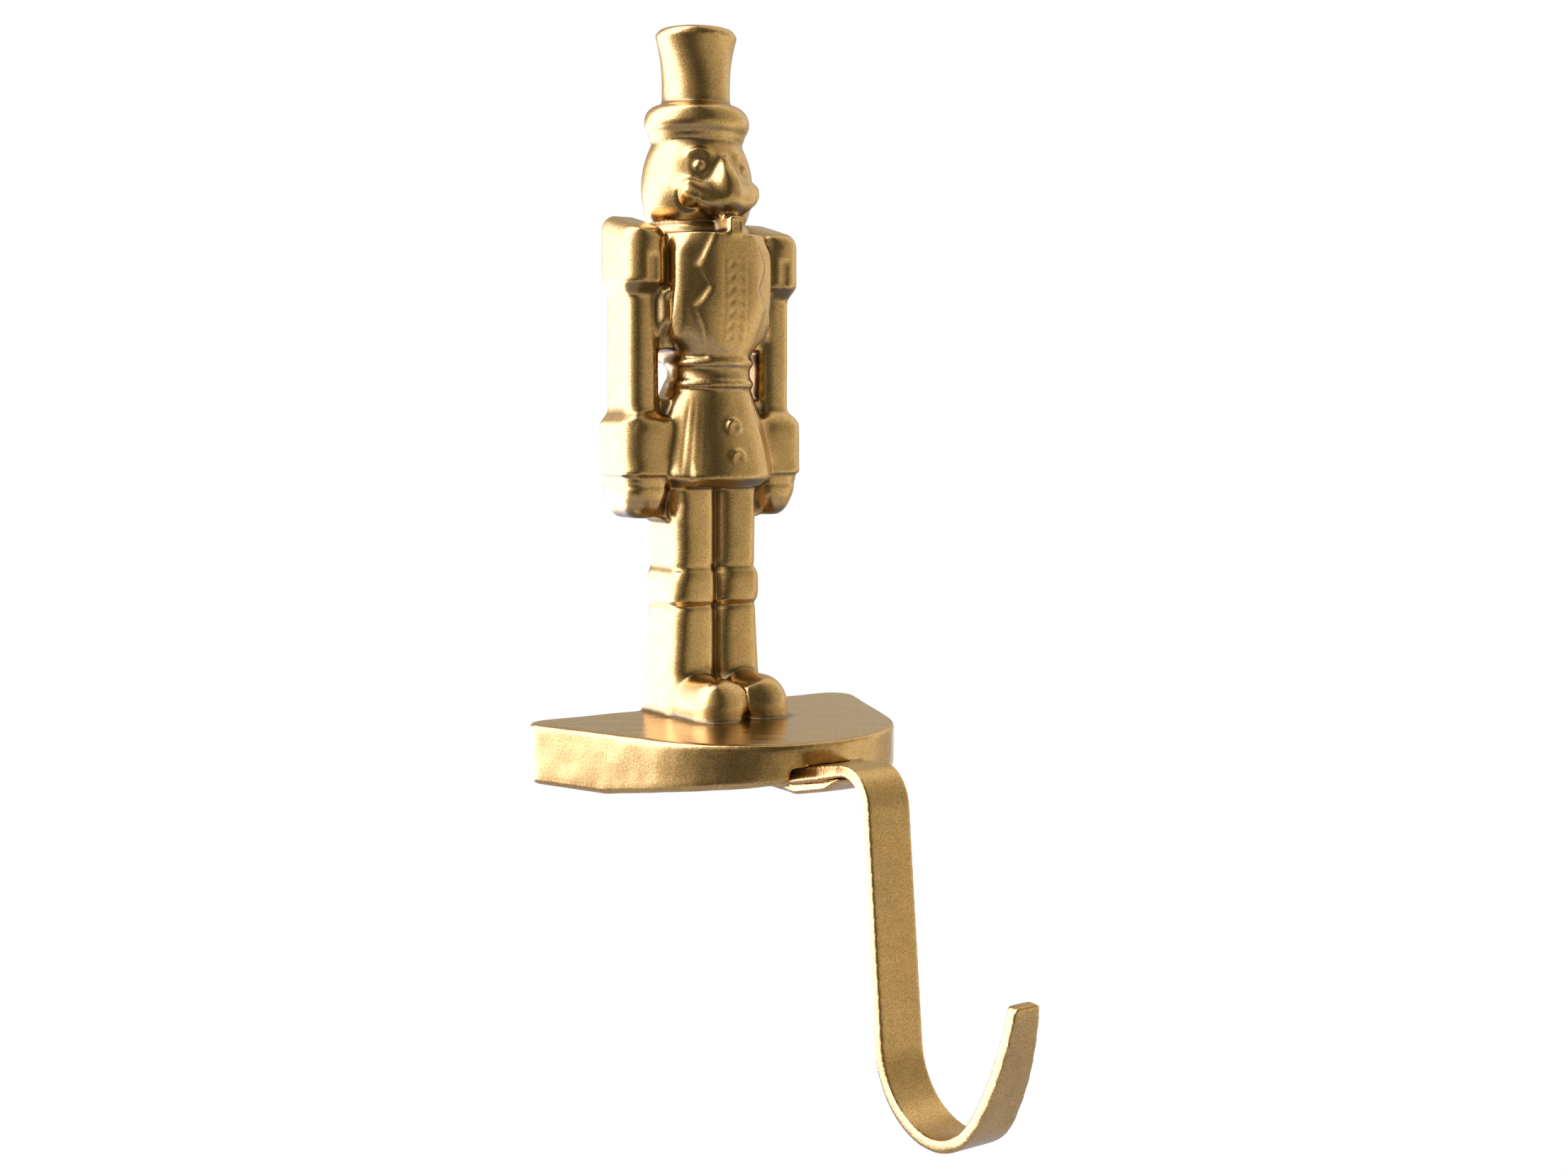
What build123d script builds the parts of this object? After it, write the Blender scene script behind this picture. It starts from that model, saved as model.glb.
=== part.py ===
"""Mantel stocking holder: a flat-backed cast nutcracker on a weighted base, with a bent strap hook.

Frame: +Z up, z = 0 is the flat of the underside that sits on the shelf. The figure faces -Y, so the
hook reaches forward over the shelf's edge and hangs below z = 0. X = 0 is the plane of symmetry, and
Y = 0 lies under the axis of the head. All sizes are in millimetres and degrees.
"""

from build123d import *
from math import acos, atan2, cos, hypot, radians, sin, tan
import os

# Base slab: a D in plan, whose underside rises towards the front.
base_thickness = 13.6
base_half_width = 45.9
base_reach = 54.2
base_front_radius = 33.0
base_corner_radius = 5.0
base_top_round = 0.9
base_foot_round = 1.6
back_reach = 4.5
shelf_flat = 23.5
relief_angle = 8.1

# Flat-bar hook: tail, bend, drop and J. The tail leaves the base's front at a height above the shelf.
strap_width = 10.6
strap_thickness = 2.7
tail_insert = 13.2
tail_overhang = 18.1
tail_height = 7.1
tail_rise = 12.3
drop_lean = 6.0
bend_radius = 7.5
drop_length = 48.2
bowl_radius = 15.85
bowl_exit = 59.0
tip_radius = 64.0
tip_exit = 83.6
taper_start = 0.8
tip_half_width = 3.0
tip_corner_round = 1.2
seat_clearance = 0.1

# Notch in the front of the base, and the lug under the strap.
notch_depth = 8.0
notch_half_width = 6.0
notch_mouth = 3.8
notch_flare = 4.0
lug_half_width = 5.5
lug_overhang = 10.4
lug_root = 18.2
lug_heel = 6.2
lug_nose = 5.0
lug_depth = 2.8
lug_tip = 0.9
lug_nose_round = 6.0
lug_edge_round = 0.9

# Heights of the figure, from the boots up.
leg_length = 54.2
skirt_length = 20.4
belt_width = 6.2
chest_length = 28.0
neck_length = 4.0
face_length = 16.6
brim_thickness = 8.8
crown_length = 17.0

# Legs, knee cuffs and boots.
leg_half_width = 11.9
knee_half_width = 11.0
ankle_half_width = 13.1
leg_front = 10.0
leg_corner = 3.2
leg_overlap = 0.1
knee_height = 25.5
knee_cuff_width = 7.4
knee_cuff_swell = 0.6
boot_height = 9.6
boot_length = 13.6
boot_width = 12.2
boot_overlap = 0.1
boot_wall = 2.6

# Coat skirt, belt and chest.
hem_half_width = 14.8
hem_front = 18.4
hem_bevel = 2.2
skirt_bell_inset = 0.6
skirt_bell_setback = 1.7
skirt_neck_swell = 2.8
skirt_neck_bulge = 0.4
waist_radius = 9.5
waist_axis = 4.5
belt_rim = 0.8
belt_rim_width = 1.4
chest_half_width = 12.3
chest_front = 16.0
chest_corner = 9.4
chest_taper = 0.9
chest_lean = 0.5
chest_top_inset = 0.3
plastron_rise = 0.7
plastron_edge = ((5.4, 0.4), (8.8, 7.6), (6.2, 12.3), (9.0, 16.4), (6.2, 25.0), (5.2, 27.8))
coat_button_radius = 1.8
coat_button_ring = 0.4
coat_button_hole = 1.0
coat_button_lift = 0.2
coat_button_drops = (8.9, 15.7)

# Arms: sleeve, epaulette, cuff and hand, with the webs that tie them to the body.
arm_spread = 13.3
arm_width = 8.2
arm_front = 7.1
sleeve_length = 31.1
sleeve_corner = 3.3
epaulette_length = 15.3
epaulette_rise = 4.2
epaulette_bevel = 2.9
epaulette_crown = 3.4
epaulette_overhang = 1.4
epaulette_proud = 3.0
epaulette_slope = 14.0
epaulette_corner = 5.2
epaulette_overlap = 0.4
fringe_groove_width = 2.3
fringe_groove_length = 6.2
fringe_groove_depth = 0.5
cuff_length = 11.8
cuff_bevel = 2.6
cuff_outset = 2.1
cuff_inset = 3.0
cuff_proud = 3.0
cuff_corner = 4.4
hand_length = 9.8
hand_inset = 0.8
hand_round = 3.4
hand_corner = 4.6
web_depth = 10.7
web_gap_length = 11.2
web_gap_rise = 2.8
web_hand_drop = 1.6

# Head, collar and tall hat.
head_axis = -1.0
head_radius = 13.1
cheek_rise = 6.9
brow_radius = 10.1
jaw_radius = 11.9
collar_radius = 12.3
collar_height = 3.0
collar_round = 1.2
brim_radius = 12.25
brim_band = 2.0
crown_radius = 7.85
crown_flare = 1.65
crown_straight = 5.0
crown_lip = 1.5

# Face: heights are above the chin line, and reaches are out from the head's front.
eye_spread = 27.5
eye_rise = 10.8
eye_radius = 1.5
eye_sink = 1.1
socket_radius = 2.7
socket_depth = 0.8
brow_ridge = 0.75
brow_flatness = 0.85
brow_sink = 0.9
brow_tilt = 9.0
brow_sweep = 110.0
brow_arch = 3.4
nose_rise = 6.2
nose_reach = 4.1
nose_length = 7.0
nose_half_width = 3.4
nose_root_depth = 2.0
nose_bridge_setback = 1.7
nose_under_setback = 1.4
moustache_rise = 4.2
moustache_droop = 0.9
moustache_curl = 1.4
moustache_angle = 37.0
moustache_overlap = 6.0
moustache_radius = 2.6
moustache_flatness = 0.9
moustache_lift = 0.3
jaw_reach = 2.1
jaw_half_width = 6.4
jaw_rise = 3.6
muzzle_length = 8.0
muzzle_half_width = 5.0
chin_half_width = 4.6
chin_reach = 0.9
chin_drop = 0.4
beard_half_width = 1.9
beard_reach = 4.9
beard_length = 4.4
beard_corner = 0.8

# Forms run this far behind the flat back before they are trimmed flush with it.
trim_margin = 3.0
behind = back_reach + trim_margin

# Levels that follow from the heights.
hem = base_thickness + leg_length
waist = hem + skirt_length
belt_top = waist + belt_width
shoulder = belt_top + chest_length
chin = shoulder + neck_length
brow_line = chin + face_length
brim_top = brow_line + brim_thickness
hat_top = brim_top + crown_length
pad_top = shoulder + epaulette_rise
pad_bottom = pad_top - epaulette_length
cuff_top = pad_bottom - sleeve_length
cuff_bottom = cuff_top - cuff_length
hand_bottom = cuff_bottom - hand_length
head_front = head_axis + head_radius


def block_section(z, left, right, front, corner):
    """Rounded rectangle at a level, whose back corners lie behind the flat back."""
    corner = min(corner, 0.49 * (right - left))
    back = behind + corner
    with BuildSketch(Plane.XY.offset(z)) as section:
        with Locations(((left + right) / 2, (back - front) / 2)):
            RectangleRounded(right - left, back + front, corner)
    return section.sketch


def oval_section(z, half_width, front, back):
    """Ellipse at a level, given its half width and its front and back reach."""
    with BuildSketch(Plane.XY.offset(z)) as section:
        with Locations((0, (back - front) / 2)):
            Ellipse(half_width, (back + front) / 2)
    return section.sketch


def leg_section(z, outer, swell=0.0):
    """Leg with a flat front and round corners, which meets its twin in a groove at the middle."""
    return block_section(z, -outer - swell, leg_overlap, leg_front + swell, leg_corner)


def chest_section(z, half_width, front, grow=0.0):
    """Body section with a flat front and round corners, which can be grown outward."""
    reach = half_width + grow
    return block_section(z, -reach, reach, front + grow, chest_corner + grow)


# Strap hook, with the tail's line set by its height at the base's front.
bend_turn = 90.0 + tail_rise - drop_lean
tail_slope = tan(radians(tail_rise))
tail_heading = 180.0 - tail_rise
drop_heading = tail_heading + bend_turn
bowl_turn = drop_heading - (180.0 - bowl_exit)
tail_span = (tail_insert + tail_overhang) / cos(radians(tail_rise))
tail_run = tail_span - bend_radius * tan(radians(bend_turn / 2))
strap_half_drop = strap_thickness / 2 / cos(radians(tail_rise))


def strap_seat(reach):
    """Height of the underside of the strap's tail at a reach in front of the head's axis."""
    return tail_height + (reach - base_reach) * tail_slope - strap_half_drop


def tail_plane(reach, lift=0.0):
    """Plane along the tail, square to its thickness, with its local +Y pointing back."""
    middle = tail_height + (reach - base_reach) * tail_slope
    normal = Vector(0, sin(radians(tail_rise)), cos(radians(tail_rise)))
    return Plane(origin=Vector(0, -reach, middle) + normal * lift, x_dir=(1, 0, 0), z_dir=normal)


with BuildPart() as hook_strap:
    with BuildLine(Plane.YZ) as strap_path:
        tail = PolarLine(
            (tail_insert - base_reach, tail_height - tail_insert * tail_slope), tail_run, tail_heading
        )
        bend = JernArc(tail @ 1, tail % 1, bend_radius, bend_turn)
        drop = PolarLine(bend @ 1, drop_length, drop_heading)
        bowl = JernArc(drop @ 1, drop % 1, bowl_radius, -bowl_turn)
        tip = JernArc(bowl @ 1, bowl % 1, tip_radius, bowl_exit - tip_exit)
    with BuildSketch(Plane(origin=strap_path.line @ 0, x_dir=(1, 0, 0), z_dir=strap_path.line % 0)):
        Rectangle(strap_width, strap_thickness)
    sweep()
    # The rising end narrows towards a rounded tip, trimmed square to the front.
    tip_top = (tip @ 1).Z - strap_thickness / 4
    taper_foot = bowl @ taper_start
    with BuildSketch(Plane.XZ.offset(-taper_foot.Y - strap_thickness)) as tip_trim:
        with Locations((0, taper_foot.Z)):
            Rectangle(2 * strap_width, drop_length, align=(Align.CENTER, Align.MIN))
        with BuildLine():
            Polyline(
                (-strap_width / 2, taper_foot.Z),
                (strap_width / 2, taper_foot.Z),
                (tip_half_width, tip_top),
                (-tip_half_width, tip_top),
                close=True,
            )
        make_face(mode=Mode.SUBTRACT)
        fillet(tip_trim.vertices().group_by(Axis.Y)[1], tip_corner_round)
    extrude(amount=2 * bowl_radius, mode=Mode.SUBTRACT)
hook_strap.part.label = "hook_strap"

# Base slab. Its sides run straight from the back corners and touch the round front.
front_centre = base_front_radius - base_reach
corner_reach = hypot(base_half_width, back_reach - front_centre)
side_angle = atan2(back_reach - front_centre, base_half_width) - acos(base_front_radius / corner_reach)
side_tangent = (base_front_radius * cos(side_angle), front_centre + base_front_radius * sin(side_angle))
relief_start = back_reach - shelf_flat
relief_end = -2 * base_reach

with BuildPart() as base:
    with BuildSketch() as base_plan:
        with BuildLine():
            Line((0, back_reach), (base_half_width, back_reach))
            side = Line((base_half_width, back_reach), side_tangent)
            TangentArc(side_tangent, (0, -base_reach), tangent=side % 1)
            mirror(about=Plane.YZ)
        make_face()
        back_corners = base_plan.vertices().filter_by(lambda corner: abs(corner.X) > base_half_width - 0.1)
        fillet(back_corners, base_corner_radius)
    extrude(amount=base_thickness)
    with BuildSketch(Plane.YZ):
        with BuildLine():
            Polyline(
                (relief_start, 0),
                (relief_end, 0),
                (relief_end, (relief_start - relief_end) * tan(radians(relief_angle))),
                close=True,
            )
        make_face()
    extrude(amount=2 * base_half_width, both=True, mode=Mode.SUBTRACT)
    fillet(base.faces().sort_by(Axis.Z)[-1].edges(), base_top_round)
    underside = base.faces().filter_by(lambda face: face.normal_at().Z < -0.9)
    rim = underside.edges().filter_by(lambda edge: abs(edge.center().Y - relief_start) > 0.1)
    fillet(rim, base_foot_round)

# Lug under the strap, tied into the base behind the notch.
bend_start = base_reach - tail_insert + tail_run * cos(radians(tail_rise))
lug_front = min(base_reach + lug_overhang, bend_start)
lug_back = base_reach - lug_root
lug_knee = base_reach - lug_heel
notch_back = base_reach - notch_depth

with BuildPart() as lug:
    with BuildSketch(Plane.YZ) as lug_side:
        with BuildLine():
            Polyline(
                (-lug_back, strap_seat(notch_back)),
                (-notch_back, strap_seat(notch_back)),
                (-lug_front, strap_seat(lug_front)),
                (-lug_front, strap_seat(lug_front) - lug_tip),
                (lug_nose - lug_front, strap_seat(lug_front - lug_nose) - lug_depth),
                (-lug_knee, strap_seat(lug_knee) - lug_depth),
                (-lug_back, strap_seat(lug_knee) - lug_depth),
                close=True,
            )
        make_face()
        fillet(lug_side.vertices().sort_by(Axis.X)[2], lug_nose_round)
    extrude(amount=lug_half_width, both=True)
    lug_floor = lug.faces().filter_by(lambda face: face.normal_at().Z < -0.2)
    lug_edges = lug_floor.edges().filter_by(lambda edge: abs(edge.center().X) > lug_half_width / 2)
    fillet(lug_edges, lug_edge_round)

# Right leg of the figure: shank, knee cuff and boot.
with BuildPart() as leg:
    knee = base_thickness + knee_height
    cuff_rim = knee_cuff_width / 6
    loft([
        leg_section(base_thickness - trim_margin / 2, ankle_half_width),
        leg_section(base_thickness + boot_height, (ankle_half_width + knee_half_width) / 2),
        leg_section(knee, knee_half_width),
        leg_section(hem + trim_margin, leg_half_width),
    ])
    loft([
        leg_section(knee, knee_half_width),
        leg_section(knee + cuff_rim, knee_half_width, knee_cuff_swell),
        leg_section(knee + knee_cuff_width - cuff_rim, knee_half_width, knee_cuff_swell),
        leg_section(knee + knee_cuff_width, knee_half_width),
    ], ruled=True)

toe_radius = boot_width / 2
toe_reach = leg_front + boot_length - toe_radius
boot_middle = toe_radius - boot_overlap
boot_foot = base_thickness - trim_margin / 2


def boot_section():
    """Half of a boot's arched section, across the middle of its round toe."""
    with BuildSketch(Plane.XZ.offset(toe_reach)) as section:
        with BuildLine():
            arch = EllipticalCenterArc(
                (0, base_thickness + boot_wall),
                toe_radius,
                boot_height - boot_wall,
                start_angle=0,
                arc_size=90,
            )
            Polyline(arch @ 0, (toe_radius, boot_foot), (0, boot_foot), arch @ 1)
        make_face()
    return section.sketch


with BuildPart() as boot:
    extrude(boot_section(), amount=-toe_reach)
    mirror(about=Plane.YZ)
    revolve(boot_section(), axis=Axis((0, -toe_reach, 0), (0, 0, -1)), revolution_arc=180)

# Coat: flared skirt, belt and chest, with a raised front panel and two ring buttons.
with BuildPart() as skirt:
    waist_front = waist_axis + waist_radius
    loft([
        oval_section(hem - hem_bevel, hem_half_width - hem_bevel, hem_front - hem_bevel, behind),
        oval_section(hem, hem_half_width, hem_front, behind),
    ])
    loft([
        oval_section(hem, hem_half_width, hem_front, behind),
        oval_section(
            hem + 0.35 * skirt_length,
            hem_half_width - skirt_bell_inset,
            hem_front - skirt_bell_setback,
            behind,
        ),
        oval_section(
            hem + 0.75 * skirt_length,
            waist_radius + skirt_neck_swell,
            waist_front + skirt_neck_bulge,
            behind,
        ),
        oval_section(waist + belt_rim_width / 2, waist_radius, waist_front, behind),
    ])

with BuildPart() as coat_buttons:
    for drop_down in coat_button_drops:
        cloth = waist_front + coat_button_lift + (hem_front - waist_front) * (drop_down / skirt_length) ** 1.3
        with BuildSketch(Plane.XZ.offset(cloth - coat_button_radius)):
            with Locations((0, waist - drop_down)):
                Circle(coat_button_radius)
        extrude(amount=coat_button_radius + coat_button_ring)
        with BuildSketch(Plane.XZ.offset(cloth + coat_button_ring)):
            with Locations((0, waist - drop_down)):
                Circle(coat_button_hole)
        extrude(amount=-coat_button_ring, mode=Mode.SUBTRACT)

with BuildPart() as belt:
    with BuildSketch(Plane.XZ.offset(waist_axis)):
        with BuildLine():
            Polyline(
                (0, waist),
                (waist_radius + belt_rim, waist),
                (waist_radius + belt_rim, waist + belt_rim_width),
                (waist_radius, waist + 1.3 * belt_rim_width),
                (waist_radius, belt_top - 1.3 * belt_rim_width),
                (waist_radius + belt_rim, belt_top - belt_rim_width),
                (waist_radius + belt_rim, belt_top),
                (0, belt_top),
                close=True,
            )
        make_face()
    revolve(axis=Axis((0, -waist_axis, 0), (0, 0, 1)))

chest_profile = (
    (belt_top - belt_rim_width / 2, waist_radius - belt_rim, waist_front - belt_rim),
    (belt_top + 0.25 * chest_length, chest_half_width - chest_taper, chest_front - chest_lean),
    (belt_top + 0.5 * chest_length, chest_half_width, chest_front),
    (shoulder, chest_half_width - chest_top_inset, chest_front),
)

with BuildPart() as torso:
    loft([chest_section(*row) for row in chest_profile])

with BuildPart() as plastron:
    loft([chest_section(*row, grow=plastron_rise) for row in chest_profile])
    with BuildSketch(Plane.XZ):
        with BuildLine():
            edge = [(x, shoulder - drop_down) for x, drop_down in plastron_edge]
            Polyline((0, edge[0][1]), *edge, (0, edge[-1][1]))
            mirror(about=Plane.YZ)
        make_face()
    extrude(amount=2 * chest_front, mode=Mode.INTERSECT)

# Right arm of the figure: sleeve, epaulette, cuff and closed hand.
arm_outer = arm_spread + arm_width
pad_outer = arm_outer + epaulette_overhang
pad_inner = chest_half_width - epaulette_overlap
pad_front = arm_front + epaulette_proud
turnback_outer = arm_outer + cuff_outset
turnback_inner = arm_spread - cuff_inset
turnback_front = arm_front + cuff_proud

pad_slope = Plane(
    origin=(0, back_reach, pad_top),
    x_dir=(1, 0, 0),
    z_dir=(0, -sin(radians(epaulette_slope)), cos(radians(epaulette_slope))),
)

with BuildPart() as arm:
    sleeve = (-arm_outer, -arm_spread, arm_front, sleeve_corner)
    pad = (-pad_outer, -pad_inner, pad_front, epaulette_corner)
    turnback = (-turnback_outer, -turnback_inner, turnback_front, cuff_corner)
    loft([block_section(pad_bottom - epaulette_bevel, *sleeve), block_section(pad_bottom, *pad)])
    extrude(block_section(pad_bottom, *pad), amount=epaulette_length + trim_margin)
    split(bisect_by=pad_slope, keep=Keep.BOTTOM)
    fillet(arm.faces().sort_by(Axis.Z)[-1].edges(), min(epaulette_crown, 0.9 * epaulette_corner))
    # A short upright groove marks the fringe on the front of the epaulette.
    with BuildSketch(Plane.XZ.offset(pad_front - fringe_groove_depth)):
        with Locations((-(pad_outer + pad_inner) / 2, pad_bottom)):
            Rectangle(fringe_groove_width, fringe_groove_length, align=(Align.CENTER, Align.MIN))
    extrude(amount=2 * fringe_groove_depth, mode=Mode.SUBTRACT)
    extrude(block_section(cuff_top, *sleeve), amount=sleeve_length)
    loft([block_section(cuff_top, *turnback), block_section(cuff_top + cuff_bevel, *sleeve)])
    extrude(block_section(cuff_bottom, *turnback), amount=cuff_length)


def hand_section(rise, inset):
    """Section of the closed hand at a share of its length, drawn in from the cuff's outline."""
    return block_section(
        hand_bottom + rise * hand_length,
        inset - turnback_outer,
        -turnback_inner - inset,
        turnback_front - inset,
        hand_corner,
    )


with BuildPart() as hand:
    loft([
        hand_section(0.0, hand_inset + hand_round),
        hand_section(0.15, hand_inset + hand_round / 2),
        hand_section(0.5, hand_inset + hand_round / 12),
        hand_section(1.2, hand_inset),
    ])

# Webs of the casting between arm and body. A gap beside the waist stays open.
gap_bottom = waist - web_gap_rise
gap_top = gap_bottom + web_gap_length
web_front = web_depth - back_reach

with BuildPart() as web:
    with BuildSketch(Plane.XZ.offset(web_front)):
        with BuildLine():
            Polyline(
                (-waist_radius / 2, gap_top),
                (-arm_spread - arm_width / 2, gap_top),
                (-arm_spread - arm_width / 2, shoulder),
                (-waist_radius / 2, shoulder),
                close=True,
            )
        make_face()
        with BuildLine():
            Polyline(
                (-waist_radius / 2, gap_bottom),
                (-arm_spread - arm_width / 2, gap_bottom),
                (-arm_spread - arm_width / 2, hand_bottom + web_hand_drop),
                (-waist_radius, hand_bottom - web_hand_drop),
                (-waist_radius / 2, hand_bottom),
                close=True,
            )
        make_face()
    extrude(amount=-web_front - behind)

# Eyes lie on the head's widest ring, turned out from the middle of the face.
eye_facing = Vector(-sin(radians(eye_spread)), -cos(radians(eye_spread)), 0)
socket_sphere = (socket_radius**2 + socket_depth**2) / (2 * socket_depth)


def eye_axis(side_sign, out):
    """Point on an eye's axis, at a distance out from the skin of the head."""
    point = eye_facing * (head_radius + out)
    return (side_sign * point.X, point.Y - head_axis, chin + eye_rise)


# Head with its collar, and the hat, are turned about one upright axis.
collar_foot = shoulder - collar_height / 5

with BuildPart() as head:
    with BuildSketch(Plane.XZ.offset(head_axis)):
        with BuildLine():
            cheek_line = ThreePointArc(
                (jaw_radius, chin), (head_radius, chin + cheek_rise), (brow_radius, brow_line + brim_band / 4)
            )
            collar_roll = ThreePointArc(
                (collar_radius - collar_round, collar_foot + collar_height),
                (collar_radius, collar_foot + collar_height / 2),
                (collar_radius - collar_round, collar_foot),
            )
            Polyline(cheek_line @ 0, (jaw_radius - collar_round, (collar_roll @ 0).Y), collar_roll @ 0)
            Polyline(collar_roll @ 1, (0, collar_foot), (0, (cheek_line @ 1).Y), cheek_line @ 1)
        make_face()
    revolve(axis=Axis((0, -head_axis, 0), (0, 0, 1)))
    for side_sign in (1, -1):
        with Locations(eye_axis(side_sign, socket_sphere - socket_depth)):
            Sphere(socket_sphere, rotation=(90, 0, 0), mode=Mode.SUBTRACT)
        with Locations(eye_axis(side_sign, -eye_sink)):
            Sphere(eye_radius, rotation=(90, 0, 0))

with BuildPart() as hat:
    with BuildSketch(Plane.XZ.offset(head_axis)):
        with BuildLine():
            band = Line((brow_radius, brow_line), (brow_radius + brim_band / 2, brow_line + brim_band / 2))
            rise = Line(band @ 1, (brow_radius + brim_band / 2, brow_line + brim_band))
            roll = ThreePointArc(
                rise @ 1,
                (brim_radius, brow_line + brim_thickness / 2),
                (crown_radius + brim_band / 3, brim_top),
            )
            foot = Line(roll @ 1, (crown_radius, brim_top + brim_band / 3))
            wall = Line(foot @ 1, (crown_radius, brim_top + crown_straight))
            flare = TangentArc(wall @ 1, (crown_radius + crown_flare, hat_top - crown_lip), tangent=wall % 1)
            lip = Line(flare @ 1, ((flare @ 1).X - crown_lip * 0.8, hat_top))
            Polyline(lip @ 1, (0, hat_top), (0, brow_line), band @ 0)
        make_face()
    revolve(axis=Axis((0, -head_axis, 0), (0, 0, 1)))

# Face: arched brows, a wedge nose, a curled moustache, a round muzzle and a chin beard.
with BuildPart() as brow:
    lean = radians(brow_tilt)
    brow_facing = eye_facing * cos(lean) + Vector(0, 0, sin(lean))
    brow_up = eye_facing * -sin(lean) + Vector(0, 0, cos(lean))
    with BuildLine(Plane(origin=eye_axis(1, -brow_sink), x_dir=brow_up, z_dir=brow_facing)) as brow_arc:
        CenterArc((0, 0), brow_arch, -brow_sweep / 2, brow_sweep)
    with BuildSketch(Plane(origin=brow_arc.line @ 0, z_dir=brow_arc.line % 0)):
        Ellipse(brow_ridge, brow_ridge * brow_flatness)
    sweep()

with BuildPart() as nose:
    root = nose_root_depth - head_front
    nose_tip = head_front + nose_reach
    nose_level = chin + nose_rise
    loft([
        oval_section(nose_level + nose_length, nose_half_width / 3, head_front, root + nose_root_depth / 2),
        oval_section(
            nose_level + nose_length / 2, nose_half_width * 0.75, nose_tip - nose_bridge_setback, root
        ),
        oval_section(nose_level, nose_half_width, nose_tip, root),
        oval_section(
            nose_level - nose_length / 4, nose_half_width * 0.7, nose_tip - nose_under_setback, root
        ),
    ])


def head_point(angle, out, rise):
    """Point off the head's widest ring, at an angle from its front and a rise above the chin line."""
    radius = head_radius + out
    return (-radius * sin(radians(angle)), -head_axis - radius * cos(radians(angle)), chin + rise)


with BuildPart() as moustache:
    with BuildLine() as moustache_path:
        ThreePointArc(
            head_point(-moustache_overlap, jaw_reach, moustache_rise + moustache_droop / 2),
            head_point(moustache_angle / 2, jaw_reach / 2, moustache_rise - moustache_droop),
            head_point(moustache_angle, moustache_lift, moustache_rise + moustache_curl),
        )
    with BuildSketch(Plane(origin=moustache_path.line @ 0, z_dir=moustache_path.line % 0)):
        Ellipse(moustache_radius, moustache_radius * moustache_flatness)
    sweep()
    with Locations(moustache_path.line @ 1):
        Sphere(moustache_radius, rotation=(90, 0, 0))

with BuildPart() as jaw:
    loft([
        oval_section(chin - chin_drop, chin_half_width, head_front + chin_reach, root),
        oval_section(chin + jaw_rise, jaw_half_width, head_front + jaw_reach, root),
        oval_section(chin + muzzle_length, muzzle_half_width, head_front + chin_reach, root),
    ])
    extrude(
        block_section(
            chin - beard_length, -beard_half_width, beard_half_width, head_front + beard_reach, beard_corner
        ),
        amount=beard_length,
    )

with BuildPart() as nutcracker_casting:
    add(base.part)
    # Notch in the front edge, open below and flaring forward and downward round the strap.
    notch_roof = strap_thickness / 2 + seat_clearance
    for lift, grow in ((notch_roof, 0.0), (notch_roof - base_thickness, notch_flare)):
        with BuildSketch(tail_plane(base_reach, lift)):
            with BuildLine():
                Polyline(
                    (-notch_half_width - grow, notch_depth),
                    (notch_half_width + grow, notch_depth),
                    (notch_half_width + grow + 2 * notch_mouth, -notch_depth),
                    (-notch_half_width - grow - 2 * notch_mouth, -notch_depth),
                    close=True,
                )
            make_face()
    loft(mode=Mode.SUBTRACT)
    add(lug.part)
    # Channel that holds the strap's tail, which lies on the channel's floor.
    with BuildSketch(tail_plane(base_reach - tail_insert, -strap_thickness / 2)):
        with Locations((0, seat_clearance)):
            Rectangle(
                strap_width + 2 * seat_clearance, 2 * base_reach, align=(Align.CENTER, Align.MAX)
            )
    extrude(amount=strap_thickness + seat_clearance, mode=Mode.SUBTRACT)
    for piece in (leg, arm, hand, web, brow, moustache):
        add(piece.part)
        add(mirror(piece.part, about=Plane.YZ, mode=Mode.PRIVATE))
    with Locations((boot_middle, 0, 0), (-boot_middle, 0, 0)):
        add(boot.part)
    for piece in (skirt, belt, torso, plastron, coat_buttons, head, hat, nose, jaw):
        add(piece.part)
    with Locations((0, back_reach, 0)):
        Box(
            4 * base_half_width,
            2 * base_half_width,
            3 * hat_top,
            align=(Align.CENTER, Align.MIN, Align.CENTER),
            mode=Mode.SUBTRACT,
        )
nutcracker_casting.part.label = "nutcracker_casting"

os.makedirs("parts", exist_ok=True)
export_step(nutcracker_casting.part, "parts/nutcracker_casting.step")
export_step(hook_strap.part, "parts/hook_strap.step")
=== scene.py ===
"""Dressed scene of the mantel stocking holder: a satin gold casting and its strap hook on a white studio.

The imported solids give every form. Each one is copied, remeshed finely, and worked over as the real
casting is: soft edges, tooled lines, shallow dents and a grainy gold finish. Lengths are in metres, as
in the frame, and in millimetres where a name or comment says so.
"""

import math

import bmesh
import bpy
import numpy as np
from mathutils import Matrix, Vector, kdtree, noise


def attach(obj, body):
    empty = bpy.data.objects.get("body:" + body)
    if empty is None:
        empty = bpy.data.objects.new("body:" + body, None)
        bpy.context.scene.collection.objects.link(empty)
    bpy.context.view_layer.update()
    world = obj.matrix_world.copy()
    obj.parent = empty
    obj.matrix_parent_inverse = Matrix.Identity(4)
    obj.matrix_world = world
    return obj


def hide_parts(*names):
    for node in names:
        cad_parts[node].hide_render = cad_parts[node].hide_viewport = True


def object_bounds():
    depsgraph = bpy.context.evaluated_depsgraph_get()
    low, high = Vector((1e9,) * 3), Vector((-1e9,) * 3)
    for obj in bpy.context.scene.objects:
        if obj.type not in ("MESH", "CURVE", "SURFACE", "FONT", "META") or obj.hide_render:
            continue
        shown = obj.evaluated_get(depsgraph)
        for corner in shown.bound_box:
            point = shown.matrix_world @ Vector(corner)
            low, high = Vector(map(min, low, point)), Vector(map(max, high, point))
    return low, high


MM = 0.001

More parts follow.
